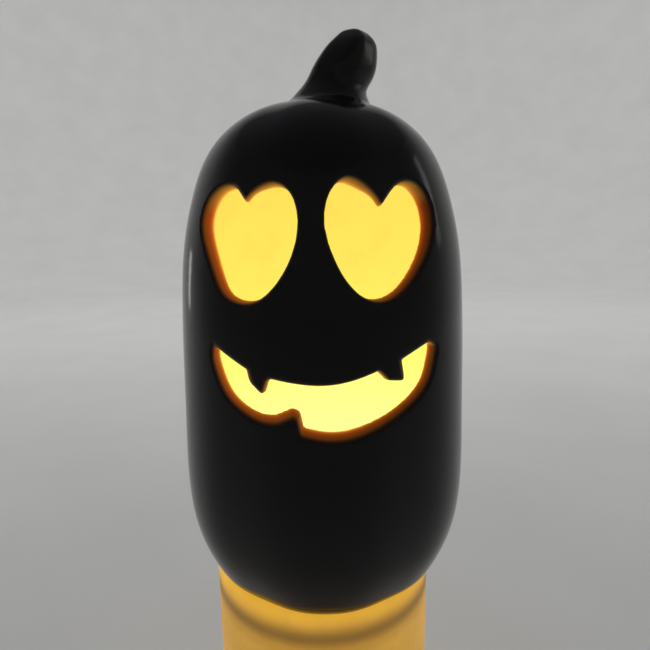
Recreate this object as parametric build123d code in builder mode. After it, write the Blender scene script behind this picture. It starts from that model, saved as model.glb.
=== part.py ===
from build123d import *
import math
import os

# Ceramic jack-o'-lantern figure standing on a flameless LED pillar light.
# Millimetres, +Z up, origin on the floor under the pumpkin's axis, the face looks along -Y.

# ---- driving dimensions ----------------------------------------------------------------
PILLAR_R = 38.1  # three-inch pillar
RIM_Z = 101.6  # top of the wax rim, where the pumpkin's foot ring stands
LIGHT_X = -1.35  # the pumpkin stands a little to the right of the pillar's axis
LIGHT_AXIS = Axis((LIGHT_X, 0, 0), (0, 0, 1))
FLOOR_GAP = 1.2  # the rubber feet lift everything else off the table
RIM_FILLET, WAX_FOOT_FILLET = 1.6, 0.8
CORE_R = 31.7  # bore of the wax sleeve, outside of the plastic housing
HOUSING_WALL = 2.1

PLATE_TOP = 4.2  # top face of the base plate
DECK_Z = 93.4  # underside of the opaque deck
DECK_T = 2.8
BOARD_Z = 84.0  # underside of the circuit board
BOARD_T = 1.6
LEDGE_R, LEDGE_T = 26.6, 2.0  # ledge under the rim of the board

FLAME_HOLE_R = 7.0  # neck of the flame tip, through the deck
FLAME_TOP = DECK_Z + 33.4
FLAME_ROOM_R = 5.6  # hollow in the flame tip for its diode
DIODE_Z = DECK_Z + 3.6  # underside of the diode's collar
GLOW_RING_R = 21.0
CHIP_X, CAPACITOR_X, PARTS_Y = 13.0, -13.0, 8.0

CELL_R, CELL_L = 5.25, 44.5  # AAA cells
CELL_PITCH_R = 7.4
CELL_Z = 6.3
BOX_R, BOX_Z, BOX_TOP = 15.0, 6.0, 56.6
CELL_ANGLES = (90, 210, 330)
NUB_R, NUB_H = 1.9, 1.0  # positive end of a cell
FLANGE_R, FLANGE_T = 20.5, 1.6
PLATE_R, PLATE_T = 4.4, 0.4  # contact plates over the cells
SPRING_R, SPRING_WIRE, SPRING_TURNS = 3.0, 0.3, 2.5

DOOR_R = 16.6
DOOR_INSET = 0.2  # the door and the switch stay clear of the plate's underside
SCREW_RING_R = 25.5
SCREW_ANGLES = (30, 150, 270)
SCREW_HEAD_R, SCREW_HEAD_H = 2.6, 1.6
SCREW_R, SCREW_L = 1.2, 11.0
BOSS_R, BOSS_H, PILOT_R = 3.2, 14.0, 1.25
FEET_RING_R, FOOT_R = 27.0, 3.6
FEET_ANGLES = (60, 180, 300)
SWITCH_PLACE = (0.0, 24.5)
SWITCH_TRAVEL = 4.0
KNOB = 3.0
SWITCH_SLOT = (SWITCH_TRAVEL + KNOB + 0.8, KNOB + 0.6)
SWITCH_SIZE = (13.0, 6.4)
LEAD_X, LEAD_Y, LEAD_R = 5.0, 20.0, 0.7

FOOT_BORE_R, FOOT_T = 29.5, 4.0  # opening in the floor of the pumpkin, and the floor's thickness
LOBES = 6
CUT_PLANES = (29, 56)  # the cutters run between these distances from the axis
EYE_PLANE, MOUTH_R = 41.5, 46.6  # where the outlines below are drawn
EYE_TAPER, EYE_TAPER_TOP = math.tan(math.radians(5)), math.tan(math.radians(13))
HEART_TOP, HEART_BLEND = 116, 9  # from this height up a heart widens faster, over this distance
MOUTH_TAPER = math.tan(math.radians(13))
MOUTH_AZIMUTH = 3.3
MOUTH_HALF, MOUTH_END = 31, 34  # half the mouth's width, and where its upper and lower lips meet

# outside of the pumpkin over the lobes: (radius, height above the rim)
BODY = [
    (34.8, 0.0),
    (37.6, 1.9),
    (41.4, 7.6),
    (45.0, 16.8),
    (47.1, 29.0),
    (47.5, 44.0),
    (47.1, 60.0),
    (46.7, 77.0),
    (46.0, 94.0),
    (44.4, 111.0),
    (41.2, 125.0),
    (35.8, 138.0),
    (27.4, 147.0),
    (18.6, 151.6),
    (11.0, 153.4),
]
BODY_SECTIONS = 24
GROOVE = 0.9  # depth of the soft grooves between the lobes

# inside of the pumpkin: (radius, height above the rim)
CAVITY = [
    (33.4, 5.4),
    (37.0, 10.2),
    (40.2, 18.2),
    (41.9, 29.8),
    (42.2, 44.0),
    (41.8, 60.0),
    (41.3, 77.0),
    (40.7, 93.4),
    (39.1, 109.0),
    (36.1, 122.0),
    (31.2, 133.4),
    (23.4, 141.8),
    (13.0, 146.9),
    (0.0, 148.3),
]

# stem: (height above the rim, sideways position, radius)
STEM_Z = 152.0
STEM_RINGS = [
    (STEM_Z, 2.35, 13.4),
    (154.1, 2.85, 12.8),
    (155.8, 3.25, 11.9),
    (157.5, 3.85, 11.0),
    (161.0, 6.05, 10.2),
    (164.5, 7.75, 9.9),
    (168.0, 9.05, 8.9),
    (171.4, 10.25, 7.3),
    (173.2, 10.65, 5.7),
    (174.9, 10.65, 3.6),
    (176.2, 10.05, 1.2),
]

os.makedirs("parts", exist_ok=True)


def level(height):
    """Horizontal plane at this height, centred on the pillar light."""
    return Plane((LIGHT_X, 0, height))


def polar(radius, angle):
    """A point on a circle about the middle of its plane, angle in degrees from +X."""
    a = math.radians(angle)
    return (radius * math.cos(a), radius * math.sin(a))


def lobed_ring(radius, groove, count=48):
    """Points of one cross-section of the pumpkin: six lobes with soft grooves between them."""
    points = []
    for i in range(count):
        a = 2 * math.pi * i / count
        r = radius - groove * math.sin(LOBES / 2 * a) ** 4
        points.append((r * math.sin(a), -r * math.cos(a)))
    return points


def facing(azimuth, distance):
    """Upright plane in front of the face, turned about the axis; its local Y is world Z."""
    a = math.radians(azimuth)
    out = Vector(math.sin(a), -math.cos(a), 0)
    across = Vector(math.cos(a), math.sin(a), 0)
    return Plane(origin=out * distance, x_dir=across, z_dir=out)


def grown(points, centre, depth):
    """Move outline points away from a centre as the cut widens; the top of a heart widens more."""
    moved = []
    for x, z in points:
        dx, dz = x - centre[0], z - centre[1]
        taper = EYE_TAPER + (EYE_TAPER_TOP - EYE_TAPER) * min(max((z - HEART_TOP) / HEART_BLEND, 0), 1)
        k = 1 + depth * taper / math.hypot(dx, dz)
        moved.append((centre[0] + dx * k, RIM_Z + centre[1] + dz * k))
    return moved


def heart_cutter(azimuth, outline, centre):
    """Tapered plug with a heart outline that starts and ends at the notch."""
    with BuildPart() as plug:
        for distance in CUT_PLANES:
            points = grown(outline, centre, distance - EYE_PLANE)
            with BuildSketch(facing(azimuth, distance)):
                with BuildLine():
                    Spline(*points, points[0])
                make_face()
        loft()
    return plug.part


def mouth_cutter():
    """Tapered plug with the grin's outline: two upper teeth and one lower tooth."""
    upper_left = [(-32.0, 84.7), (-27.0, 81.6), (-22.0, 78.8)]
    tooth_a = [(-22.0, 78.8), (-21.3, 75.3), (-18.7, 72.8), (-17.7, 75.9), (-16.6, 77.2)]
    upper_mid = [(-16.6, 77.2), (-11.0, 76.3), (-1.6, 75.7), (6.0, 76.9), (12.4, 78.9)]
    tooth_b = [(12.4, 78.9), (15.2, 75.8), (19.1, 75.2), (18.1, 80.8)]
    upper_right = [(18.1, 80.8), (22.8, 82.9), (27.4, 84.8)]
    right_corner = [(27.4, 84.8), (29.4, 83.2), (29.3, 79.4)]
    lower_right = [(29.3, 79.4), (26.7, 72.1), (20.1, 66.5), (9.4, 62.1), (-1.1, 60.7), (-8.5, 62.1)]
    tooth_c = [(-8.5, 62.1), (-9.5, 66.6), (-10.5, 67.1), (-14.8, 64.9)]
    lower_left = [
        (-14.8, 64.9),
        (-18.6, 64.7),
        (-22.9, 66.0),
        (-28.1, 69.8),
        (-31.3, 75.8),
        (-32.5, 81.2),
        (-32.0, 84.7),
    ]

    def place(points, edge, distance):
        placed = []
        for x, z in points:
            surface = math.sqrt(MOUTH_R**2 - x**2)
            shift = (distance - surface) * MOUTH_TAPER
            lift = edge * shift * (1 - abs(x / MOUTH_END) ** 6)
            placed.append((x * (1 + shift / MOUTH_HALF), RIM_Z + z + lift))
        return placed

    with BuildPart() as plug:
        for distance in CUT_PLANES:
            with BuildSketch(facing(MOUTH_AZIMUTH, distance)):
                with BuildLine():
                    Spline(*place(upper_left, 1, distance))
                    Polyline(*place(tooth_a, 1, distance))
                    Spline(*place(upper_mid, 1, distance))
                    Polyline(*place(tooth_b, 1, distance))
                    Spline(*place(upper_right, 1, distance))
                    ends = place(right_corner[:2], 1, distance) + place(right_corner[2:], -1, distance)
                    Spline(*ends)
                    Spline(*place(lower_right, -1, distance))
                    Polyline(*place(tooth_c, -1, distance))
                    Spline(*place(lower_left[:-1], -1, distance), place(lower_left[-1:], 1, distance)[0])
                make_face()
        loft(ruled=True)
    return plug.part


# ---- pumpkin ---------------------------------------------------------------------------
left_heart = heart_cutter(
    azimuth=-21.6,
    outline=[
        (-4.5, 123.3),
        (-1.5, 126.0),
        (2.6, 127.3),
        (6.9, 125.4),
        (9.6, 120.2),
        (10.0, 113.8),
        (8.1, 106.9),
        (4.3, 101.1),
        (-0.6, 97.3),
        (-5.5, 96.5),
        (-10.8, 98.4),
        (-14.9, 104.8),
        (-19.0, 112.0),
        (-21.1, 118.4),
        (-19.3, 124.1),
        (-13.7, 127.7),
        (-8.4, 127.2),
    ],
    centre=(-5.5, 112.0),
)
right_heart = heart_cutter(
    azimuth=27.4,
    outline=[
        (-3.8, 121.2),
        (0.3, 125.5),
        (4.8, 127.9),
        (9.4, 127.3),
        (12.8, 123.4),
        (13.4, 117.6),
        (11.2, 110.9),
        (6.6, 104.6),
        (1.1, 99.4),
        (-3.3, 97.2),
        (-6.9, 96.9),
        (-10.7, 98.3),
        (-14.8, 102.6),
        (-17.5, 108.4),
        (-18.9, 115.2),
        (-18.2, 122.2),
        (-15.6, 126.8),
        (-11.8, 128.7),
        (-7.6, 126.6),
    ],
    centre=(-3.2, 112.0),
)
mouth = mouth_cutter()

with BuildLine() as body_outline:
    half = Spline(*BODY)
body_sections = [half @ (i / BODY_SECTIONS) for i in range(BODY_SECTIONS + 1)]

with BuildPart() as pumpkin_shell:
    for section in body_sections:
        with BuildSketch(Plane.XY.offset(RIM_Z + section.Y)):
            with BuildLine():
                Spline(*lobed_ring(section.X, GROOVE * min(1, section.X / 30)), periodic=True)
            make_face()
    loft()
    # cavity, open through the floor
    with BuildSketch(Plane.XZ):
        with BuildLine():
            Polyline(
                (0, RIM_Z + CAVITY[-1][1]),
                (0, RIM_Z - 1),
                (FOOT_BORE_R, RIM_Z - 1),
                (FOOT_BORE_R, RIM_Z + FOOT_T),
                (CAVITY[0][0], RIM_Z + CAVITY[0][1]),
            )
            Spline(*[(r, RIM_Z + z) for r, z in CAVITY])
        make_face()
    revolve(axis=Axis.Z, mode=Mode.SUBTRACT)
    # eyes and mouth
    add(left_heart, mode=Mode.SUBTRACT)
    add(right_heart, mode=Mode.SUBTRACT)
    add(mouth, mode=Mode.SUBTRACT)
    # flat seat for the stem
    with BuildSketch(Plane.XY.offset(RIM_Z + STEM_Z)):
        with Locations((STEM_RINGS[0][1], 0)):
            Circle(STEM_RINGS[0][2] + 0.2)
    extrude(amount=6, mode=Mode.SUBTRACT)
pumpkin_shell.part.label = "pumpkin_shell"
export_step(pumpkin_shell.part, "parts/pumpkin_shell.step")

with BuildPart() as stem:
    for height, across, radius in STEM_RINGS:
        with BuildSketch(Plane.XY.offset(RIM_Z + height)):
            with Locations((across, 0)):
                Circle(radius)
    loft()
stem.part.label = "stem"
export_step(stem.part, "parts/stem.step")

# ---- pillar light ----------------------------------------------------------------------
with BuildPart() as wax_pillar:
    with BuildSketch(level(FLOOR_GAP)):
        Circle(PILLAR_R)
        Circle(CORE_R, mode=Mode.SUBTRACT)
    extrude(amount=RIM_Z - FLOOR_GAP)
    fillet(wax_pillar.faces().sort_by(Axis.Z)[-1].edges(), RIM_FILLET)
    fillet(wax_pillar.faces().sort_by(Axis.Z)[0].outer_wire().edges(), WAX_FOOT_FILLET)
wax_pillar.part.label = "wax_pillar"
export_step(wax_pillar.part, "parts/wax_pillar.step")

with BuildPart() as base_plate:
    with BuildSketch(level(FLOOR_GAP)):
        Circle(CORE_R)
        Circle(DOOR_R + 0.4, mode=Mode.SUBTRACT)
        with Locations([polar(SCREW_RING_R, a) for a in SCREW_ANGLES]):
            Circle(SCREW_R + 0.3, mode=Mode.SUBTRACT)
        with Locations(SWITCH_PLACE):
            Rectangle(*SWITCH_SLOT, mode=Mode.SUBTRACT)
    extrude(amount=PLATE_TOP - FLOOR_GAP)
    # pockets for the screw heads
    with BuildSketch(level(FLOOR_GAP)):
        with Locations([polar(SCREW_RING_R, a) for a in SCREW_ANGLES]):
            Circle(SCREW_HEAD_R + 0.3)
    extrude(amount=SCREW_HEAD_H + 0.3, mode=Mode.SUBTRACT)
base_plate.part.label = "base_plate"
export_step(base_plate.part, "parts/base_plate.step")

with BuildPart() as inner_housing:
    with BuildSketch(level(PLATE_TOP)):
        Circle(CORE_R)
        Circle(CORE_R - HOUSING_WALL, mode=Mode.SUBTRACT)
    extrude(amount=DECK_Z - PLATE_TOP)
    # ledge that carries the circuit board
    with BuildSketch(level(BOARD_Z - LEDGE_T)):
        Circle(CORE_R - HOUSING_WALL)
        Circle(LEDGE_R, mode=Mode.SUBTRACT)
    extrude(amount=LEDGE_T)
    # bosses for the base screws, joined to the wall
    with BuildSketch(level(PLATE_TOP)):
        for angle in SCREW_ANGLES:
            with Locations(polar(SCREW_RING_R, angle)):
                Circle(BOSS_R)
            with Locations(Location((*polar(SCREW_RING_R + 2.6, angle), 0), (0, 0, angle))):
                Rectangle(5.0, 3.4)
        with Locations([polar(SCREW_RING_R, a) for a in SCREW_ANGLES]):
            Circle(PILOT_R, mode=Mode.SUBTRACT)
    extrude(amount=BOSS_H)
inner_housing.part.label = "inner_housing"
export_step(inner_housing.part, "parts/inner_housing.step")

with BuildPart() as deck:
    with BuildSketch(level(DECK_Z)):
        Circle(CORE_R)
        Circle(FLAME_HOLE_R, mode=Mode.SUBTRACT)
    extrude(amount=DECK_T)
    # shallow dish round the flame
    with BuildSketch(level(DECK_Z + DECK_T)):
        Circle(27.0)
        Circle(9.0, mode=Mode.SUBTRACT)
    extrude(amount=-1.0, mode=Mode.SUBTRACT)
deck.part.label = "deck"
export_step(deck.part, "parts/deck.step")

with BuildPart() as flame_tip:
    with BuildSketch(Plane(LIGHT_AXIS.position, x_dir=(1, 0, 0), z_dir=(0, -1, 0))):
        with BuildLine():
            Polyline(
                (0, FLAME_TOP),
                (0, DECK_Z - 1.5),
                (FLAME_HOLE_R, DECK_Z - 1.5),
                (FLAME_HOLE_R, DECK_Z + DECK_T),
            )
            Spline(
                (FLAME_HOLE_R, DECK_Z + DECK_T),
                (7.6, DECK_Z + 9.0),
                (6.6, DECK_Z + 17.0),
                (3.6, DECK_Z + 26.0),
                (0, FLAME_TOP),
            )
        make_face()
        # room for the light-emitting diode
        with BuildLine():
            Polyline(
                (0, DECK_Z + 18),
                (0, DECK_Z - 2),
                (FLAME_ROOM_R, DECK_Z - 2),
                (FLAME_ROOM_R, DECK_Z + 11),
                (0, DECK_Z + 18),
            )
        make_face(mode=Mode.SUBTRACT)
    revolve(axis=LIGHT_AXIS)
flame_tip.part.label = "flame_tip"
export_step(flame_tip.part, "parts/flame_tip.step")

with BuildPart() as flame_led:
    with BuildSketch(level(DIODE_Z)):
        Circle(2.9)
    extrude(amount=1)
    with BuildSketch(level(DIODE_Z + 1)):
        Circle(2.5)
    extrude(amount=6)
    fillet(flame_led.faces().sort_by(Axis.Z)[-1].edges(), 2.3)
    # two legs down to the board
    with BuildSketch(level(BOARD_Z + BOARD_T)):
        with Locations((-1.27, 0), (1.27, 0)):
            Rectangle(0.5, 0.5)
    extrude(amount=DIODE_Z - BOARD_Z - BOARD_T)
flame_led.part.label = "flame_led"
export_step(flame_led.part, "parts/flame_led.step")

with BuildPart() as circuit_board:
    with BuildSketch(level(BOARD_Z)):
        Circle(CORE_R - HOUSING_WALL - 0.3)
        for side in (-1, 1):
            with Locations((side * LEAD_X, LEAD_Y)):
                Circle(LEAD_R + 0.2, mode=Mode.SUBTRACT)
    extrude(amount=BOARD_T)
circuit_board.part.label = "circuit_board"
export_step(circuit_board.part, "parts/circuit_board.step")

with BuildPart() as glow_leds:
    with BuildSketch(level(BOARD_Z)):
        for angle in (0, 90, 180, 270):
            with Locations(Location((*polar(GLOW_RING_R, angle), 0), (0, 0, angle))):
                Rectangle(2.8, 3.5)
    extrude(amount=-1.4)
glow_leds.part.label = "glow_leds"
export_step(glow_leds.part, "parts/glow_leds.step")

with BuildPart() as timer_chip:
    with BuildSketch(level(BOARD_Z + BOARD_T + 0.2)):
        with Locations((CHIP_X, PARTS_Y)):
            Rectangle(4.9, 3.9)
    extrude(amount=1.5)
    with BuildSketch(level(BOARD_Z + BOARD_T)):
        with Locations((CHIP_X, PARTS_Y)):
            with GridLocations(1.27, 4.8, 4, 2):
                Rectangle(0.42, 1.1)
    extrude(amount=0.8)
timer_chip.part.label = "timer_chip"
export_step(timer_chip.part, "parts/timer_chip.step")

with BuildPart() as capacitor:
    with BuildSketch(level(BOARD_Z + BOARD_T)):
        with Locations((CAPACITOR_X, PARTS_Y)):
            Circle(2.5)
    extrude(amount=6.6)
    fillet(capacitor.faces().sort_by(Axis.Z)[-1].edges(), 0.4)
capacitor.part.label = "capacitor"
export_step(capacitor.part, "parts/capacitor.step")

# ---- battery bay -----------------------------------------------------------------------
cell_places = [polar(CELL_PITCH_R, a) for a in CELL_ANGLES]
CELL_TOP = CELL_Z + CELL_L
BAY_TOP = BOX_TOP - 2.0

with BuildPart() as battery_box:
    with BuildSketch(level(BOX_Z)):
        Circle(BOX_R)
        with Locations(cell_places):
            Circle(CELL_R + 0.35, mode=Mode.SUBTRACT)
    extrude(amount=BAY_TOP - BOX_Z)
    with BuildSketch(level(BAY_TOP)):
        Circle(BOX_R)
    extrude(amount=BOX_TOP - BAY_TOP)
    # flange that stands on the base plate round the door opening
    with BuildSketch(level(BOX_Z)):
        Circle(FLANGE_R)
        Circle(BOX_R, mode=Mode.SUBTRACT)
    extrude(amount=FLANGE_T)
    with BuildSketch(level(PLATE_TOP)):
        Circle(FLANGE_R)
        Circle(DOOR_R + 0.6, mode=Mode.SUBTRACT)
    extrude(amount=BOX_Z - PLATE_TOP)
battery_box.part.label = "battery_box"
export_step(battery_box.part, "parts/battery_box.step")

for index, place in enumerate(cell_places, start=1):
    with BuildPart() as battery:
        with BuildSketch(level(CELL_Z)):
            with Locations(place):
                Circle(CELL_R)
        extrude(amount=CELL_L - NUB_H)
        fillet(battery.edges().filter_by(GeomType.CIRCLE), 0.5)
        with BuildSketch(level(CELL_TOP - NUB_H)):
            with Locations(place):
                Circle(NUB_R)
        extrude(amount=NUB_H)
    battery.part.label = f"battery_{index}"
    export_step(battery.part, f"parts/battery_{index}.step")

with BuildPart() as contact_plates:
    with BuildSketch(level(BAY_TOP - PLATE_T)):
        with Locations(cell_places):
            Circle(PLATE_R)
    extrude(amount=PLATE_T)
contact_plates.part.label = "contact_plates"
export_step(contact_plates.part, "parts/contact_plates.step")

SPRING_Z = CELL_TOP + SPRING_WIRE
SPRING_H = BAY_TOP - PLATE_T - SPRING_WIRE - SPRING_Z
with BuildPart() as contact_springs:
    for across, back in cell_places:
        foot = (LIGHT_X + across, back, SPRING_Z)
        coil = Helix(pitch=SPRING_H / SPRING_TURNS, height=SPRING_H, radius=SPRING_R, center=foot)
        with BuildSketch(Plane(origin=coil @ 0, z_dir=coil % 0)):
            Circle(SPRING_WIRE)
        sweep(path=coil)
contact_springs.part.label = "contact_springs"
export_step(contact_springs.part, "parts/contact_springs.step")

with BuildPart() as battery_door:
    with BuildSketch(level(FLOOR_GAP + DOOR_INSET)):
        Circle(DOOR_R)
    extrude(amount=PLATE_TOP - FLOOR_GAP - DOOR_INSET)
    with BuildSketch(level(PLATE_TOP)):
        Circle(13.4)
    extrude(amount=0.9)
    # coin slot
    with BuildSketch(level(FLOOR_GAP + DOOR_INSET)):
        SlotOverall(20, 2.4)
    extrude(amount=1.4, mode=Mode.SUBTRACT)
battery_door.part.label = "battery_door"
export_step(battery_door.part, "parts/battery_door.step")

with BuildPart() as door_contact:
    with BuildSketch(level(PLATE_TOP + 0.9)):
        Circle(11.8)
        Circle(4.0, mode=Mode.SUBTRACT)
    extrude(amount=0.5)
door_contact.part.label = "door_contact"
export_step(door_contact.part, "parts/door_contact.step")

# ---- base hardware ---------------------------------------------------------------------
with BuildPart() as base_screws:
    for angle in SCREW_ANGLES:
        place = polar(SCREW_RING_R, angle)
        with BuildSketch(level(FLOOR_GAP + 0.3)):
            with Locations(place):
                Circle(SCREW_HEAD_R)
        extrude(amount=SCREW_HEAD_H)
        with BuildSketch(level(FLOOR_GAP + 0.3 + SCREW_HEAD_H)):
            with Locations(place):
                Circle(SCREW_R)
        extrude(amount=SCREW_L)
        with BuildSketch(level(FLOOR_GAP + 0.3)):
            with Locations(place):
                Rectangle(2.8, 0.6)
                Rectangle(0.6, 2.8)
        extrude(amount=0.9, mode=Mode.SUBTRACT)
base_screws.part.label = "base_screws"
export_step(base_screws.part, "parts/base_screws.step")

with BuildPart() as rubber_feet:
    with BuildSketch(level(0)):
        with Locations([polar(FEET_RING_R, a) for a in FEET_ANGLES]):
            Circle(FOOT_R)
    extrude(amount=FLOOR_GAP)
    fillet(rubber_feet.faces().group_by(Axis.Z)[0].edges(), 0.4)
rubber_feet.part.label = "rubber_feet"
export_step(rubber_feet.part, "parts/rubber_feet.step")

with BuildPart() as switch_body:
    with BuildSketch(level(PLATE_TOP)):
        with Locations(SWITCH_PLACE):
            Rectangle(*SWITCH_SIZE)
            Rectangle(*SWITCH_SLOT, mode=Mode.SUBTRACT)
    extrude(amount=3.4)
    with BuildSketch(level(PLATE_TOP + 3.4)):
        with Locations(SWITCH_PLACE):
            Rectangle(*SWITCH_SIZE)
    extrude(amount=1.2)
switch_body.part.label = "switch_body"
export_step(switch_body.part, "parts/switch_body.step")

with BuildPart() as switch_knob:
    with BuildSketch(level(0.6)):
        with Locations((SWITCH_PLACE[0] - SWITCH_TRAVEL / 2, SWITCH_PLACE[1])):
            Rectangle(KNOB, KNOB)
    extrude(amount=PLATE_TOP + 2.9 - 0.6)
    chamfer(switch_knob.faces().sort_by(Axis.Z)[0].edges(), 0.3)
switch_knob.part.label = "switch_knob"
export_step(switch_knob.part, "parts/switch_knob.step")

LEADS = {"lead_red": 1, "lead_black": -1}
for name, side in LEADS.items():
    with BuildPart() as lead:
        with BuildLine():
            run = FilletPolyline(
                (LIGHT_X + side * LEAD_X, 6, BOX_TOP),
                (LIGHT_X + side * LEAD_X, 6, BOX_TOP + 8),
                (LIGHT_X + side * LEAD_X, LEAD_Y, BOARD_Z - 8),
                (LIGHT_X + side * LEAD_X, LEAD_Y, BOARD_Z),
                radius=5,
            )
        with BuildSketch(Plane(origin=run @ 0, z_dir=run % 0)):
            Circle(LEAD_R)
        sweep(path=run)
    lead.part.label = name
    export_step(lead.part, f"parts/{name}.step")
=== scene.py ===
import math

import bpy
import numpy as np
import openvdb
from mathutils import Matrix, Vector


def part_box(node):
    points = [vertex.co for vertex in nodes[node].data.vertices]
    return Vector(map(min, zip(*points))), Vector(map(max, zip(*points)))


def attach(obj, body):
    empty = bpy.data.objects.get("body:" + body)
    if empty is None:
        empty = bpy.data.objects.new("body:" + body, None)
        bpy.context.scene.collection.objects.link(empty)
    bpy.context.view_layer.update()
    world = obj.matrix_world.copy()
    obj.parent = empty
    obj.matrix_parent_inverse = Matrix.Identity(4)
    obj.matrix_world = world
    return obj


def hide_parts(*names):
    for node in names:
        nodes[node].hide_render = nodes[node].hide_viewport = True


# Black-glazed ceramic jack-o'-lantern on a flameless pillar light.
# Shapes are worked out in millimetres above the pillar's rim and turned into metres when a mesh is made.

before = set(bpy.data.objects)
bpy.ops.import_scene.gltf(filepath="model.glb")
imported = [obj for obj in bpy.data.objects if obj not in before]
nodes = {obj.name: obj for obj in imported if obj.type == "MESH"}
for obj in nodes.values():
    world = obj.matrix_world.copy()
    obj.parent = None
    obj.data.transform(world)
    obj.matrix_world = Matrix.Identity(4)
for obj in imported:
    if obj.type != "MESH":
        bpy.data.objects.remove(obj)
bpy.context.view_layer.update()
MM = 0.001
wax_low, wax_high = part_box("wax_pillar")
RIM = wax_high.z / MM  # height of the wax rim, mm
LIGHT_X = (wax_low.x + wax_high.x) / 2 / MM  # the pillar's axis, mm from the pumpkin's

# ------------------------------------------------------------------------------------- camera
camera_data = bpy.data.cameras.new("camera")
camera_data.sensor_width = 36.0
camera_data.lens = 36.0 * 500 / 650
camera_data.clip_start, camera_data.clip_end = 0.01, 30.0
camera = bpy.data.objects.new("camera", camera_data)
bpy.context.scene.collection.objects.link(camera)
PITCH, ROLL = math.radians(10.34), math.radians(-0.82)
camera.matrix_world = (
    Matrix.Translation(Vector((0.75, -169.1, RIM + 113.9)) * MM)
    @ Matrix.Rotation(math.pi / 2 - PITCH, 4, "X")
    @ Matrix.Rotation(ROLL, 4, "Z")
)
bpy.context.scene.camera = camera

# ------------------------------------------------------------------------------------- curves
BODY = [(34.8, 0.0), (37.6, 1.9), (41.4, 7.6), (45.0, 16.8), (47.1, 29.0), (47.5, 44.0), (47.1, 60.0),
        (46.7, 77.0), (46.0, 94.0), (44.4, 111.0), (41.2, 125.0), (35.8, 138.0), (27.4, 147.0),
        (18.6, 151.6), (11.0, 153.4), (0.0, 154.2)]
CAVITY = [(33.4, 5.4), (37.0, 10.2), (40.2, 18.2), (41.9, 29.8), (42.2, 44.0), (41.8, 60.0), (41.3, 77.0),
          (40.7, 93.4), (39.1, 109.0), (36.1, 122.0), (31.2, 133.4), (23.4, 141.8), (13.0, 146.9),
          (0.0, 148.3)]
BODY_TOP, CAVITY_TOP = BODY[-1][1], CAVITY[-1][1]
FOOT_BORE, FLOOR_TOP = 29.5, 4.0
PROFILE_LOW, PROFILE_HIGH, PROFILE_STEP = (0, -6), (58, 164), 0.25  # where the profiles' distance is kept
BEHIND = -60.0  # a radius that closes a profile well past the axis
LOBES, GROOVE = 6, 0.9
# stem: height, sideways position of its middle, radius
STEM = [(150.0, 1.85, 14.4), (152.0, 2.35, 13.6), (154.1, 2.95, 12.8), (155.8, 3.25, 11.9),
        (157.5, 3.85, 10.9), (161.0, 6.1, 10.2), (164.5, 7.7, 9.9), (168.0, 9.0, 8.9),
        (171.4, 10.25, 7.3), (173.2, 10.65, 5.8), (174.9, 10.65, 3.8), (176.1, 10.25, 0.0)]
STEM_TOP = STEM[-1][0]
STEM_BLEND, STEM_BLEND_FROM = 3.0, 146  # how softly the stem runs into the crown, and from what height
STEM_CUT = 156.2  # where the stem piece takes over from the shell piece

LEFT_EYE = dict(
    azimuth=math.radians(-21.6), lean=0.44,
    outline=[(-4.5, 123.3), (-1.5, 126.0), (2.6, 127.3), (6.9, 125.4), (9.6, 120.2), (10.0, 113.8),
             (8.1, 106.9), (4.3, 101.1), (-0.6, 97.3), (-5.5, 96.5), (-10.8, 98.4), (-14.9, 104.8),
             (-19.0, 112.0), (-21.1, 118.4), (-19.3, 124.1), (-13.7, 127.7), (-8.4, 127.2), (-4.5, 123.3)])
RIGHT_EYE = dict(
    azimuth=math.radians(27.4), lean=-0.42,
    outline=[(-3.8, 121.2), (0.3, 125.5), (4.8, 127.9), (9.4, 127.3), (12.8, 123.4), (13.4, 117.6),
             (11.2, 110.9), (6.6, 104.6), (1.1, 99.4), (-3.3, 97.2), (-6.9, 96.9), (-10.7, 98.3),
             (-14.8, 102.6), (-17.5, 108.4), (-18.9, 115.2), (-18.2, 122.2), (-15.6, 126.8),
             (-11.8, 128.7), (-7.6, 126.6), (-3.8, 121.2)])
EYE_PLANE = 41.5
EYE_TAPER, EYE_TAPER_TOP = math.tan(math.radians(5)), math.tan(math.radians(13))
EYE_BLEND_FROM, EYE_BLEND = 116, 9  # the taper changes over this height
NOTCH_REACH = 3.5  # how far round the notch its slant is felt
MOUTH_AZIMUTH, MOUTH_RADIUS = math.radians(3.3), 46.6
MOUTH_TAPER = math.tan(math.radians(13))
CUT_ROUND, CAVITY_ROUND = 1.1, 0.7  # edges of the eyes and mouth, and of the cavity
FACE_FRONT, FACE_LOW, FACE_HIGH = -15, 52, 136  # the eyes and mouth lie in front of and between these
SEAM_GAP, SEAM_LAP = 0.03, 1.0  # how far the stem piece shrinks into the shell below the seam, and how deep
WAX_BORE = 31.7
WAX_FOOT_ROUND, WAX_RIM_ROUND, WAX_BORE_ROUND = 1.2, 2.0, 1.6
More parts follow.
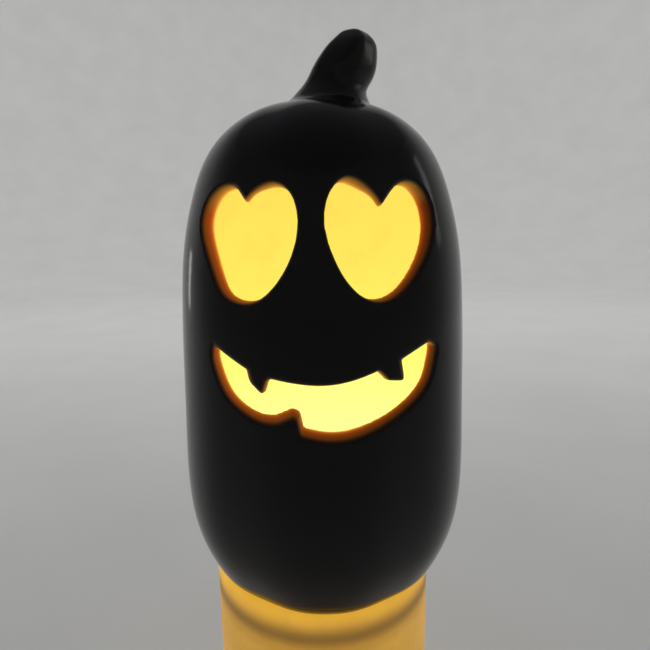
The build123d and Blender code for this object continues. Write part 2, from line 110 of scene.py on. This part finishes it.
# the grin, stretch by stretch: curves are smooth, teeth keep their corners
GRIN = [
    ("curve", [(-32.0, 84.7), (-27.0, 81.6), (-22.0, 78.8)]),
    ("tooth", [(-22.0, 78.8), (-21.3, 75.3), (-18.7, 72.8), (-17.7, 75.9), (-16.6, 77.2)]),
    ("curve", [(-16.6, 77.2), (-11.0, 76.3), (-1.6, 75.7), (6.0, 76.9), (12.4, 78.9)]),
    ("tooth", [(12.4, 78.9), (15.2, 75.8), (19.1, 75.2), (18.1, 80.8)]),
    ("curve", [(18.1, 80.8), (22.8, 82.9), (27.4, 84.8)]),
    ("curve", [(27.4, 84.8), (29.4, 83.2), (29.3, 79.4), (26.7, 72.1), (20.1, 66.5), (9.4, 62.1),
               (-1.1, 60.7), (-8.5, 62.1)]),
    ("tooth", [(-8.5, 62.1), (-9.5, 66.6), (-10.5, 67.1), (-14.8, 64.9)]),
    ("curve", [(-14.8, 64.9), (-18.6, 64.7), (-22.9, 66.0), (-28.1, 69.8), (-31.3, 75.8), (-32.5, 81.2),
               (-32.0, 84.7)]),
]


def smooth_line(points, step=0.5):
    """Natural cubic spline through the points, by chord length, as a dense run of points."""
    p = np.array(points, float)
    t = np.concatenate([[0], np.cumsum(np.linalg.norm(np.diff(p, axis=0), axis=1))])
    h = np.diff(t)
    n = len(p)
    system = np.eye(n)
    right = np.zeros((n, p.shape[1]))
    for i in range(1, n - 1):
        system[i, i - 1:i + 2] = h[i - 1], 2 * (h[i - 1] + h[i]), h[i]
        right[i] = 6 * ((p[i + 1] - p[i]) / h[i] - (p[i] - p[i - 1]) / h[i - 1])
    bend = np.linalg.solve(system, right)
    s = np.linspace(0, t[-1], max(4, int(t[-1] / step)))
    i = np.clip(np.searchsorted(t, s, side="right") - 1, 0, n - 2)
    a, b, w = (t[i + 1] - s)[:, None], (s - t[i])[:, None], h[i][:, None]
    return ((bend[i] * a**3 + bend[i + 1] * b**3) / (6 * w)
            + (p[i] / w - bend[i] * w / 6) * a + (p[i + 1] / w - bend[i + 1] * w / 6) * b)


class Field2D:
    """Signed distance to a closed outline in a plane, kept on a fine grid and read by bilinear lookup."""

    def __init__(self, outline, low, high, step, soften=0):
        line = np.array(outline, np.float32)
        if np.hypot(*(line[0] - line[-1])) > 1e-6:
            line = np.vstack([line, line[:1]])
        self.low, self.step = np.array(low, np.float32), step
        xs = np.arange(low[0], high[0] + step, step, dtype=np.float32)
        ys = np.arange(low[1], high[1] + step, step, dtype=np.float32)
        px, py = (g.ravel() for g in np.meshgrid(xs, ys, indexing="ij"))
        best = np.full(px.shape, 1e9, np.float32)
        inside = np.zeros(px.shape, bool)
        for (ax, ay), (bx, by) in zip(line[:-1], line[1:]):
            dx, dy = bx - ax, by - ay
            size = dx * dx + dy * dy
            if size < 1e-12:
                continue
            k = np.clip(((px - ax) * dx + (py - ay) * dy) / size, 0, 1)
            best = np.minimum(best, (px - ax - k * dx) ** 2 + (py - ay - k * dy) ** 2)
            if ay != by:
                crosses = (ay > py) != (by > py)
                inside ^= crosses & (px < (py - ay) * dx / dy + ax)
        grid = np.where(inside, -1, 1) * np.sqrt(best)
        grid = grid.reshape(len(xs), len(ys)).astype(np.float32)
        for _ in range(soften):
            padded = np.pad(grid, 1, mode="edge")
            grid = (padded[:-2, 1:-1] + padded[2:, 1:-1] + padded[1:-1, :-2] + padded[1:-1, 2:]
                    + 4 * grid) / 8
        self.grid = grid

    def __call__(self, x, y):
        u = np.clip((x - self.low[0]) / self.step, 0, self.grid.shape[0] - 1.001)
        v = np.clip((y - self.low[1]) / self.step, 0, self.grid.shape[1] - 1.001)
        i, j = u.astype(np.int32), v.astype(np.int32)
        u, v = u - i, v - j
        g = self.grid
        near, far = g[i, j] * (1 - u) + g[i + 1, j] * u, g[i, j + 1] * (1 - u) + g[i + 1, j + 1] * u
        return near * (1 - v) + far * v


body_line = smooth_line(BODY)
body_field = Field2D(np.vstack([[(BEHIND, 0.0)], body_line, [(BEHIND, BODY_TOP)]]),
                     PROFILE_LOW, PROFILE_HIGH, PROFILE_STEP)
cavity_line = np.vstack([[(FOOT_BORE, FLOOR_TOP)], smooth_line(CAVITY)])
cavity_field = Field2D(np.vstack([[(BEHIND, -30.0), (FOOT_BORE, -30.0)], cavity_line,
                                  [(BEHIND, CAVITY_TOP)]]),
                       PROFILE_LOW, PROFILE_HIGH, PROFILE_STEP)
eye_fields = [Field2D(smooth_line(eye["outline"]), (-26, 86), (26, 138), 0.2, soften=6)
              for eye in (LEFT_EYE, RIGHT_EYE)]
grin_line = []
for kind, points in GRIN:
    grin_line.extend((smooth_line(points) if kind == "curve" else np.array(points))[:-1])
mouth_field = Field2D(grin_line, (-42, 50), (42, 94), 0.2, soften=8)
stem_line = smooth_line(STEM)


# ------------------------------------------------------------------------------------- solids
def lobe_dent(x, y):
    """How far the grooves between the lobes go in at this angle."""
    return GROOVE * np.sin(LOBES / 2 * np.arctan2(x, -y)) ** 4 * np.clip(np.hypot(x, y) / 30, 0, 1)


def outside(x, y, z):
    return body_field(np.hypot(x, y) + lobe_dent(x, y), z)


def stem_solid(x, y, z):
    middle = np.interp(z, stem_line[:, 0], stem_line[:, 1])
    radius = np.interp(z, stem_line[:, 0], stem_line[:, 2])
    angle = np.arctan2(y, x - middle)
    ridge = 0.35 * np.cos(5 * angle + 0.6) * np.clip((z - 154) / 8, 0, 1)
    side = np.hypot(x - middle, y) - radius - ridge * np.clip(radius / 8, 0, 1)
    return np.maximum(side * 0.86, z - STEM_TOP)


def soft_union(a, b, k):
    near = np.clip(k - np.abs(a - b), 0, None) / k
    return np.minimum(a, b) - near * near * k / 4


def rounded_cut(a, b, radius):
    """Intersection of two solids with its edge rounded to this radius."""
    return (np.minimum(np.maximum(a, b), -radius)
            + np.hypot(np.maximum(a + radius, 0), np.maximum(b + radius, 0)))


def figure(x, y, z):
    """Outside of the pumpkin with the stem run into the crown."""
    shape = outside(x, y, z)
    high = z > STEM_BLEND_FROM
    if high.any():
        shape[high] = soft_union(shape[high], stem_solid(x[high], y[high], z[high]), STEM_BLEND)
    return shape


def openings(x, y, z):
    """Negative inside the eyes and the mouth, which widen towards the outside."""
    cut = np.full(x.shape, 30.0, np.float32)
    for eye, field in zip((LEFT_EYE, RIGHT_EYE), eye_fields):
        s, c = math.sin(eye["azimuth"]), math.cos(eye["azimuth"])
        across, depth = x * c + y * s, x * s - y * c
        taper = EYE_TAPER + (EYE_TAPER_TOP - EYE_TAPER) * np.clip((z - EYE_BLEND_FROM) / EYE_BLEND, 0, 1)
        # the notch runs in at its own slant
        notch = eye["outline"][0]
        near = np.exp(-((across - notch[0]) ** 2 + (z - notch[1]) ** 2) / (2 * NOTCH_REACH**2))
        plug = field(across - eye["lean"] * (depth - EYE_PLANE) * near, z) - (depth - EYE_PLANE) * taper
        cut = np.minimum(cut, np.where(depth > 20, plug, 30))
    s, c = math.sin(MOUTH_AZIMUTH), math.cos(MOUTH_AZIMUTH)
    across, depth = x * c + y * s, x * s - y * c
    surface = np.sqrt(np.clip(MOUTH_RADIUS**2 - across**2, 400, None))
    plug = mouth_field(across, z) - (depth - surface) * MOUTH_TAPER
    return np.minimum(cut, np.where(y < -20, plug, 30))


def shell_skin(x, y, z):
    """The shell with its eyes, mouth and cavity, still joined to the stem."""
    solid = figure(x, y, z)
    front = (y < FACE_FRONT) & (z > FACE_LOW) & (z < FACE_HIGH)
    if front.any():
        f = (x[front], y[front], z[front])
        solid[front] = rounded_cut(solid[front], -openings(*f), CUT_ROUND)
    return rounded_cut(solid, -cavity_field(np.hypot(x, y), z), CAVITY_ROUND)


def shell_solid(x, y, z):
    return np.maximum(shell_skin(x, y, z), z - STEM_CUT)


def through_wall(x, y, z):
    """0 on the outside of the shell, 1 on the inside."""
    out = np.clip(-figure(x, y, z), 0, None)
    return out / (out + np.clip(cavity_field(np.hypot(x, y), z), 0, None) + 0.02)


def stem_piece(x, y, z):
    return np.maximum(figure(x, y, z) + np.where(z < STEM_CUT, SEAM_GAP, 0.0),
                      STEM_CUT - SEAM_LAP - z)


def gradient(field, points, e=0.03):
    x, y, z = points.T.copy()
    return np.stack([field(x + e, y, z) - field(x - e, y, z), field(x, y + e, z) - field(x, y - e, z),
                     field(x, y, z + e) - field(x, y, z - e)], axis=1) / (2 * e)


def solid_mesh(name, solid, skin, low, high, step, guide):
    """Mesh of a solid: a coarse net from a volume, then every point drawn onto the exact surface.

    The shading follows the skin, which runs on where the solid is cut off at a seam.
    """
    axes = [np.arange(low[k], high[k] + step, step, dtype=np.float32) for k in range(3)]
    volume = np.empty([len(a) for a in axes], np.float32)
    for k in range(0, len(axes[2]), 16):
        block = np.meshgrid(axes[0], axes[1], axes[2][k:k + 16], indexing="ij")
        values = solid(*(b.ravel() for b in block))
        volume[:, :, k:k + 16] = np.clip(values, -3 * step, 3 * step).reshape(block[0].shape)
    grid = openvdb.FloatGrid(3 * step)
    grid.copyFromArray(volume)
    points, quads = grid.convertToQuads(isovalue=0.0)
    points = points.astype(np.float32) * step + np.array([a[0] for a in axes], np.float32)
    for _ in range(3):
        slope = gradient(solid, points)
        size = np.clip((slope**2).sum(axis=1), 0.2, None)
        move = -(solid(*points.T.copy()) / size)[:, None] * slope
        points += np.clip(move, -0.3 * step, 0.3 * step)
    data = bpy.data.meshes.new(name)
    data.from_pydata(((points + np.array([0, 0, RIM], np.float32)) * MM).tolist(), [], quads.tolist())
    data.validate()
    data.polygons.foreach_set("use_smooth", np.ones(len(data.polygons), bool))
    normals = gradient(skin, points, 0.1)
    normals /= np.clip(np.linalg.norm(normals, axis=1, keepdims=True), 1e-6, None)
    data.normals_split_custom_set_from_vertices(normals.tolist())
    depth = data.attributes.new("depth", "FLOAT", "POINT")
    depth.data.foreach_set("value", guide(*points.T).astype(np.float32))
    piece = bpy.data.objects.new(name, data)
    bpy.context.scene.collection.objects.link(piece)
    return piece


# ---------------------------------------------------------------------------------- materials
class Nodes:
    """Short way to write a node material."""

    def __init__(self, name):
        self.material = bpy.data.materials.new(name)
        self.material.use_nodes = True
        self.tree = self.material.node_tree
        self.shader = self.tree.nodes["Principled BSDF"]

    def add(self, kind, **values):
        node = self.tree.nodes.new("ShaderNode" + kind)
        for key, value in values.items():
            if hasattr(node, key) and key not in node.inputs:
                setattr(node, key, value)
            else:
                self.feed(node.inputs[key], value)
        return node

    def feed(self, socket, value):
        if isinstance(value, bpy.types.NodeSocket):
            self.tree.links.new(value, socket)
        else:
            socket.default_value = value

    def shade(self, **values):
        for key, value in values.items():
            self.feed(self.shader.inputs[key.replace("_", " ")], value)

    def place(self):
        return self.add("TexCoord").outputs["Object"]

    def noise(self, scale, detail=3.0, rough=0.5):
        node = self.add("TexNoise", Vector=self.place(), Scale=scale, Detail=detail, Roughness=rough)
        return node.outputs["Fac"]

    def ramp(self, factor, stops):
        node = self.add("ValToRGB", Fac=factor)
        band = node.color_ramp
        while len(band.elements) < len(stops):
            band.elements.new(0.5)
        for element, (where, colour) in zip(band.elements, sorted(stops)):
            element.position = where
            element.color = colour if len(colour) == 4 else (*colour, 1)
        return node.outputs["Color"]

    def range(self, value, low, high, out_low=0.0, out_high=1.0):
        node = self.add("MapRange", Value=value)
        node.inputs["From Min"].default_value, node.inputs["From Max"].default_value = low, high
        node.inputs["To Min"].default_value, node.inputs["To Max"].default_value = out_low, out_high
        return node.outputs["Result"]

    def mix(self, factor, a, b, blend="MIX"):
        node = self.tree.nodes.new("ShaderNodeMix")
        node.data_type, node.blend_type = "RGBA", blend
        for socket, value in ((node.inputs[0], factor), (node.inputs[6], a), (node.inputs[7], b)):
            self.feed(socket, value)
        return node.outputs[2]

    def math(self, kind, a, b=0.0):
        node = self.tree.nodes.new("ShaderNodeMath")
        node.operation = kind
        for socket, value in zip(node.inputs, (a, b)):
            self.feed(socket, value)
        return node.outputs[0]

    def height(self):
        """Height above the rim in millimetres."""
        z = self.add("SeparateXYZ", Vector=self.place()).outputs["Z"]
        return self.math("SUBTRACT", self.math("MULTIPLY", z, 1 / MM), RIM)

    def bump(self, height, distance, strength=1.0):
        node = self.add("Bump", Height=height, Distance=distance, Strength=strength)
        self.shade(Normal=node.outputs["Normal"])


def glaze_material():
    m = Nodes("black_glaze")
    depth = m.add("Attribute", attribute_name="depth").outputs["Fac"]
    across = m.add("SeparateXYZ", Vector=m.place()).outputs["X"]
    up = m.add("SeparateXYZ", Vector=m.add("NewGeometry").outputs["Normal"]).outputs["Z"]
    speck = m.noise(900, 4)
    cloud = m.noise(60, 3)
    # glaze over the clay: black outside, thin and brown down the cut edge, bare clay inside
    edge = m.math("MULTIPLY", depth, m.range(cloud, 0.3, 0.7, 0.92, 1.08))
    colour = m.ramp(edge, [
        (0.0, (0.0030, 0.0028, 0.0026)), (0.05, (0.004, 0.003, 0.0025)), (0.12, (0.006, 0.002, 0.001)),
        (0.50, (0.016, 0.003, 0.0006)), (0.78, (0.07, 0.016, 0.003)), (0.92, (0.45, 0.36, 0.20)),
        (1.0, (0.50, 0.42, 0.25))])
    # painted light: emission standing in for the lamp's light soaking through the cut edge from inside,
    # stronger on the left
    left = m.ramp(edge, [
        (0.03, (0, 0, 0)), (0.10, (0.042, 0.009, 0.0015)), (0.22, (0.128, 0.025, 0.003)),
        (0.40, (0.225, 0.030, 0.003)), (0.58, (0.320, 0.042, 0.003)), (0.74, (0.53, 0.105, 0.008)),
        (0.88, (0.84, 0.31, 0.034)), (1.0, (0.88, 0.37, 0.05))])
    right = m.ramp(edge, [
        (0.04, (0, 0, 0)), (0.14, (0.015, 0.0015, 0.0002)), (0.30, (0.042, 0.002, 0.0002)),
        (0.48, (0.100, 0.007, 0.0004)), (0.64, (0.205, 0.023, 0.001)), (0.78, (0.350, 0.057, 0.002)),
        (0.90, (0.70, 0.20, 0.015)), (1.0, (0.80, 0.30, 0.03))])
    over = m.ramp(edge, [
        (0.02, (0, 0, 0)), (0.10, (0.050, 0.024, 0.003)), (0.25, (0.150, 0.068, 0.007)),
        (0.45, (0.30, 0.118, 0.011)), (0.65, (0.52, 0.200, 0.018)), (0.85, (0.82, 0.42, 0.055)),
        (1.0, (0.90, 0.55, 0.07))])
    light = m.mix(m.range(across, -0.026, 0.030), left, right)
    # painted shade and light by facing: cut edges facing up are dimmed, and edges facing down take the
    # warmer over ramp
    light = m.mix(1.0, light, m.range(up, 0.0, 0.9, 1.0, 0.75), "MULTIPLY")
    light = m.mix(m.range(up, -0.25, -0.9, 0.0, 0.9), light, over)
    # painted light: the inside of the shell glows by height, brightest low down behind the mouth and dimmer
    # towards the foot and crown, standing in for the lamp's light; it takes over from the edge light where
    # the depth reaches the inside
    glow = m.ramp(m.range(m.height(), 0.0, 150.0), [
        (0.0, (0.30, 0.22, 0.03)), (0.10, (0.52, 0.60, 0.24)), (0.20, (0.56, 0.74, 0.27)),
        (0.38, (0.56, 0.72, 0.18)), (0.52, (0.56, 0.57, 0.09)), (0.62, (0.56, 0.50, 0.08)),
        (0.88, (0.56, 0.44, 0.07)), (1.0, (0.54, 0.42, 0.06))])
    worn = m.math("ADD", depth, m.range(speck, 0.3, 0.7, -0.02, 0.02))
    m.shade(Base_Color=colour, Specular_IOR_Level=0.26,
            Emission_Color=m.mix(m.range(depth, 0.90, 0.97), light, glow), Emission_Strength=1.0,
            Roughness=m.range(worn, 0.05, 0.14, 0.13, 0.62))
    m.bump(m.math("ADD", m.noise(180, 2), m.math("MULTIPLY", speck, 0.15)), 0.00012, 0.35)
    return m.material


def stem_material():
    m = Nodes("stem_glaze")
    cloud = m.noise(90, 3)
    m.shade(Base_Color=m.ramp(cloud, [(0.3, (0.0035, 0.0031, 0.0027)), (0.8, (0.009, 0.007, 0.005))]),
            Roughness=m.range(m.noise(300, 3), 0.3, 0.7, 0.14, 0.24), Specular_IOR_Level=0.26)
    m.bump(m.noise(160, 2), 0.00012, 0.3)
    return m.material


def wax_material():
    m = Nodes("wax")
    height = m.height()
    mottle = m.noise(55, 4, 0.6)
    grain = m.noise(700, 3)
    # painted light: the wax glows as if lit by the lamp inside, brightest at the rim, with a painted shadow
    # band just below the rim where the deck's edge blocks the light, and dimmer towards the foot; the
    # cloudy mottle varies this glow at random
    lit = m.ramp(m.range(height, -RIM, 0.0), [
        (0.0, (0.26, 0.120, 0.010)), (0.45, (0.38, 0.190, 0.018)), (0.86, (0.42, 0.215, 0.022)),
        (0.900, (0.34, 0.165, 0.014)), (0.920, (0.20, 0.090, 0.006)), (0.934, (0.135, 0.057, 0.004)),
        (0.950, (0.20, 0.090, 0.006)), (0.975, (0.44, 0.215, 0.018)), (1.0, (0.70, 0.37, 0.035))])
    cloudy = m.math("ADD", m.math("MULTIPLY", mottle, 0.7), m.math("MULTIPLY", m.noise(190, 3), 0.3))
    lit = m.mix(1.0, lit, m.range(cloudy, 0.3, 0.7, 0.89, 1.09), "MULTIPLY")
    m.shade(Base_Color=m.ramp(mottle, [(0.25, (0.36, 0.23, 0.06)), (0.8, (0.43, 0.29, 0.09))]),
            Roughness=m.range(grain, 0.3, 0.7, 0.38, 0.5), Emission_Color=lit, Emission_Strength=1.0)
    m.bump(m.math("ADD", mottle, m.math("MULTIPLY", grain, 0.12)), 0.0006, 0.5)
    return m.material


def plastic(name, dark, pale, rough=(0.35, 0.5), scale=900, metallic=0.0, glow=None, strength=0.0):
    m = Nodes(name)
    m.shade(Base_Color=m.ramp(m.noise(scale / 12, 3), [(0.3, dark), (0.75, pale)]), Metallic=metallic,
            Roughness=m.range(m.noise(scale, 3), 0.3, 0.7, *rough))
    if glow:
        m.shade(Emission_Color=glow, Emission_Strength=strength)
    m.bump(m.noise(scale, 2), 0.00004, 0.5)
    return m.material


def dress(name, material):
    data = nodes[name].data
    data.materials.clear()
    data.materials.append(material)


# -------------------------------------------------------------------------------------- build
STEP = 0.8
shell = solid_mesh("pumpkin_body", shell_solid, shell_skin, (-50, -50, -2), (50, 50, STEM_CUT + 2), STEP,
                   through_wall)
shell.data.materials.append(glaze_material())
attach(shell, "pumpkin")
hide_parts("pumpkin_shell")

stem = solid_mesh("pumpkin_stem", stem_piece, figure, (-20, -20, STEM_CUT - 3), (26, 20, 179), STEP * 0.8,
                  lambda x, y, z: np.zeros_like(x))
stem.data.materials.append(stem_material())
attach(stem, "pumpkin")
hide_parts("stem")


def turned(name, profile, segments=192):
    """Closed ring turned about the pillar's axis from a closed profile of (radius, height) in mm."""
    count = len(profile)
    verts, faces = [], []
    for i in range(segments):
        a = 2 * math.pi * i / segments
        verts.extend(((LIGHT_X + r * math.cos(a)) * MM, r * math.sin(a) * MM, z * MM) for r, z in profile)
        j = (i + 1) % segments
        for k in range(count):
            n = (k + 1) % count
            faces.append((i * count + k, j * count + k, j * count + n, i * count + n))
    data = bpy.data.meshes.new(name)
    data.from_pydata(verts, [], faces)
    data.polygons.foreach_set("use_smooth", np.ones(len(data.polygons), bool))
    data.set_sharp_from_angle(angle=math.radians(35))
    piece = bpy.data.objects.new(name, data)
    bpy.context.scene.collection.objects.link(piece)
    return piece


def arc(cx, cy, radius, start, end, count=8):
    return [(cx + radius * math.cos(math.radians(a)), cy + radius * math.sin(math.radians(a)))
            for a in np.linspace(start, end, count)]


outer, bore, bottom = (wax_high.x - wax_low.x) / 2 / MM, WAX_BORE, wax_low.z / MM
wax = turned("wax_sleeve", [
    *arc(outer - WAX_FOOT_ROUND, bottom + WAX_FOOT_ROUND, WAX_FOOT_ROUND, -90, 0),
    *[(outer, z) for z in np.linspace(6, 92, 24)],
    *arc(outer - WAX_RIM_ROUND, RIM - WAX_RIM_ROUND, WAX_RIM_ROUND, 0, 90),
    *arc(bore + WAX_BORE_ROUND, RIM - WAX_BORE_ROUND, WAX_BORE_ROUND, 90, 180),
    (bore, bottom)])
wax.data.materials.append(wax_material())
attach(wax, "light_base")
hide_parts("wax_pillar")

dress("deck", plastic("deck_plastic", (0.10, 0.075, 0.045), (0.14, 0.11, 0.07), (0.45, 0.6)))
dress("inner_housing", plastic("housing_plastic", (0.62, 0.58, 0.48), (0.70, 0.66, 0.56)))
dress("battery_box", nodes["inner_housing"].data.materials[0])
dress("base_plate", plastic("base_plastic", (0.66, 0.58, 0.42), (0.72, 0.65, 0.50), (0.4, 0.55)))
dress("battery_door", plastic("door_plastic", (0.62, 0.54, 0.39), (0.70, 0.62, 0.47), (0.4, 0.55)))
dress("flame_tip", plastic("flame_plastic", (0.9, 0.66, 0.30), (0.95, 0.76, 0.42), (0.2, 0.3),
                           glow=(1.0, 0.62, 0.16, 1), strength=2.5))
dress("flame_led", plastic("led_lens", (0.9, 0.8, 0.5), (0.95, 0.86, 0.6), (0.1, 0.2),
                           glow=(1.0, 0.7, 0.25, 1), strength=4.0))
dress("glow_leds", nodes["flame_led"].data.materials[0])
dress("circuit_board", plastic("board_laminate", (0.02, 0.12, 0.04), (0.03, 0.16, 0.06), (0.3, 0.4)))
dress("timer_chip", plastic("chip_black", (0.015, 0.015, 0.015), (0.03, 0.03, 0.03), (0.5, 0.65)))
dress("capacitor", plastic("capacitor_can", (0.45, 0.45, 0.47), (0.55, 0.55, 0.57), (0.25, 0.4),
                           metallic=1.0))
for index in (1, 2, 3):
    dress(f"battery_{index}", plastic(f"cell_jacket_{index}", (0.05, 0.055, 0.06), (0.09, 0.095, 0.10),
                                      (0.2, 0.3)))
metal = plastic("contact_metal", (0.50, 0.48, 0.44), (0.62, 0.60, 0.56), (0.2, 0.4), metallic=1.0)
for name in ("contact_plates", "contact_springs", "door_contact"):
    dress(name, metal)
dress("base_screws", plastic("screw_steel", (0.42, 0.41, 0.39), (0.56, 0.55, 0.52), (0.25, 0.4),
                             metallic=1.0))
dress("rubber_feet", plastic("foot_rubber", (0.30, 0.27, 0.21), (0.36, 0.33, 0.27), (0.75, 0.9), 500))
dress("switch_body", plastic("switch_plastic", (0.02, 0.02, 0.02), (0.035, 0.035, 0.035), (0.5, 0.6)))
dress("switch_knob", plastic("knob_plastic", (0.02, 0.02, 0.02), (0.04, 0.04, 0.04), (0.3, 0.4)))
dress("lead_red", plastic("wire_red", (0.4, 0.02, 0.015), (0.5, 0.03, 0.02), (0.3, 0.4)))
dress("lead_black", plastic("wire_black", (0.015, 0.015, 0.015), (0.03, 0.03, 0.03), (0.3, 0.4)))


# -------------------------------------------------------------------------------------- stage
def backdrop(flat=1.8, curve=1.4, wall=2.0, segments=96):
    """Round paper sweep: a flat floor that curves up into a wall on every side."""
    profile = [(0.3 * k, 0.0) for k in range(1, int(flat / 0.3) + 1)]
    profile += [(flat + curve * math.sin(a), curve * (1 - math.cos(a)))
                for a in np.linspace(0, math.pi / 2, 20)[1:]]
    profile += [(flat + curve, curve + wall * k / 4) for k in range(1, 5)]
    verts = [(0, 0, 0)]
    for r, z in profile:
        verts += [(r * math.cos(t), r * math.sin(t), z)
                  for t in np.arange(segments) * 2 * math.pi / segments]
    faces = [(0, 1 + k, 1 + (k + 1) % segments) for k in range(segments)]
    for ring in range(len(profile) - 1):
        a, b = 1 + ring * segments, 1 + (ring + 1) * segments
        faces += [(a + k, b + k, b + (k + 1) % segments, a + (k + 1) % segments) for k in range(segments)]
    data = bpy.data.meshes.new("floor")
    data.from_pydata(verts, [], faces)
    data.polygons.foreach_set("use_smooth", np.ones(len(data.polygons), bool))
    sweep = bpy.data.objects.new("floor", data)
    bpy.context.scene.collection.objects.link(sweep)
    return sweep


def paper_material():
    m = Nodes("floor_paper")
    m.shade(Base_Color=m.ramp(m.noise(8, 2), [(0.3, (0.60, 0.60, 0.59)), (0.7, (0.63, 0.63, 0.62))]),
            Roughness=0.85)
    return m.material


floor = backdrop()
floor.data.materials.append(paper_material())

world = bpy.data.worlds.new("studio")
world.use_nodes = True
world.node_tree.nodes["Background"].inputs["Color"].default_value = (0.9, 0.93, 1.0, 1)
world.node_tree.nodes["Background"].inputs["Strength"].default_value = 0.12
bpy.context.scene.world = world
bpy.context.scene.view_settings.view_transform = "Standard"


def softbox(name, place, aim, size, power, glossy=True, spread=180):
    data = bpy.data.lights.new(name, "AREA")
    data.shape, data.size, data.size_y, data.energy = "RECTANGLE", size[0], size[1], power
    data.spread = math.radians(spread)
    light = bpy.data.objects.new(name, data)
    light.location = place
    light.visible_camera, light.visible_glossy = False, glossy
    light.rotation_mode = "QUATERNION"
    light.rotation_quaternion = (Vector(aim) - Vector(place)).to_track_quat("-Z", "Y")
    bpy.context.scene.collection.objects.link(light)


softbox("streak", (-1.0, 0.72, 0.18), (0, 0, 0.18), (0.08, 0.22), 0.006, spread=40)
softbox("side", (1.4, 0.3, 0.8), (0, 0, 0.18), (0.20, 0.8), 0.05, spread=60)
for side in (-1, 1):
    softbox(f"backdrop_{side}", (0.9 * side, 0.4, 2.0), (1.6 * side, 3.2, 0.6), (0.8, 0.8), 26.0,
            glossy=False)
    softbox(f"front_{side}", (1.3 * side, -0.9, 2.4), (1.9 * side, -3.0, 0.6), (0.8, 0.8), 4.0,
            glossy=False)
softbox("overhead", (0, 0.6, 2.2), (0, 0.2, 0), (1.2, 1.2), 9.0, glossy=False)
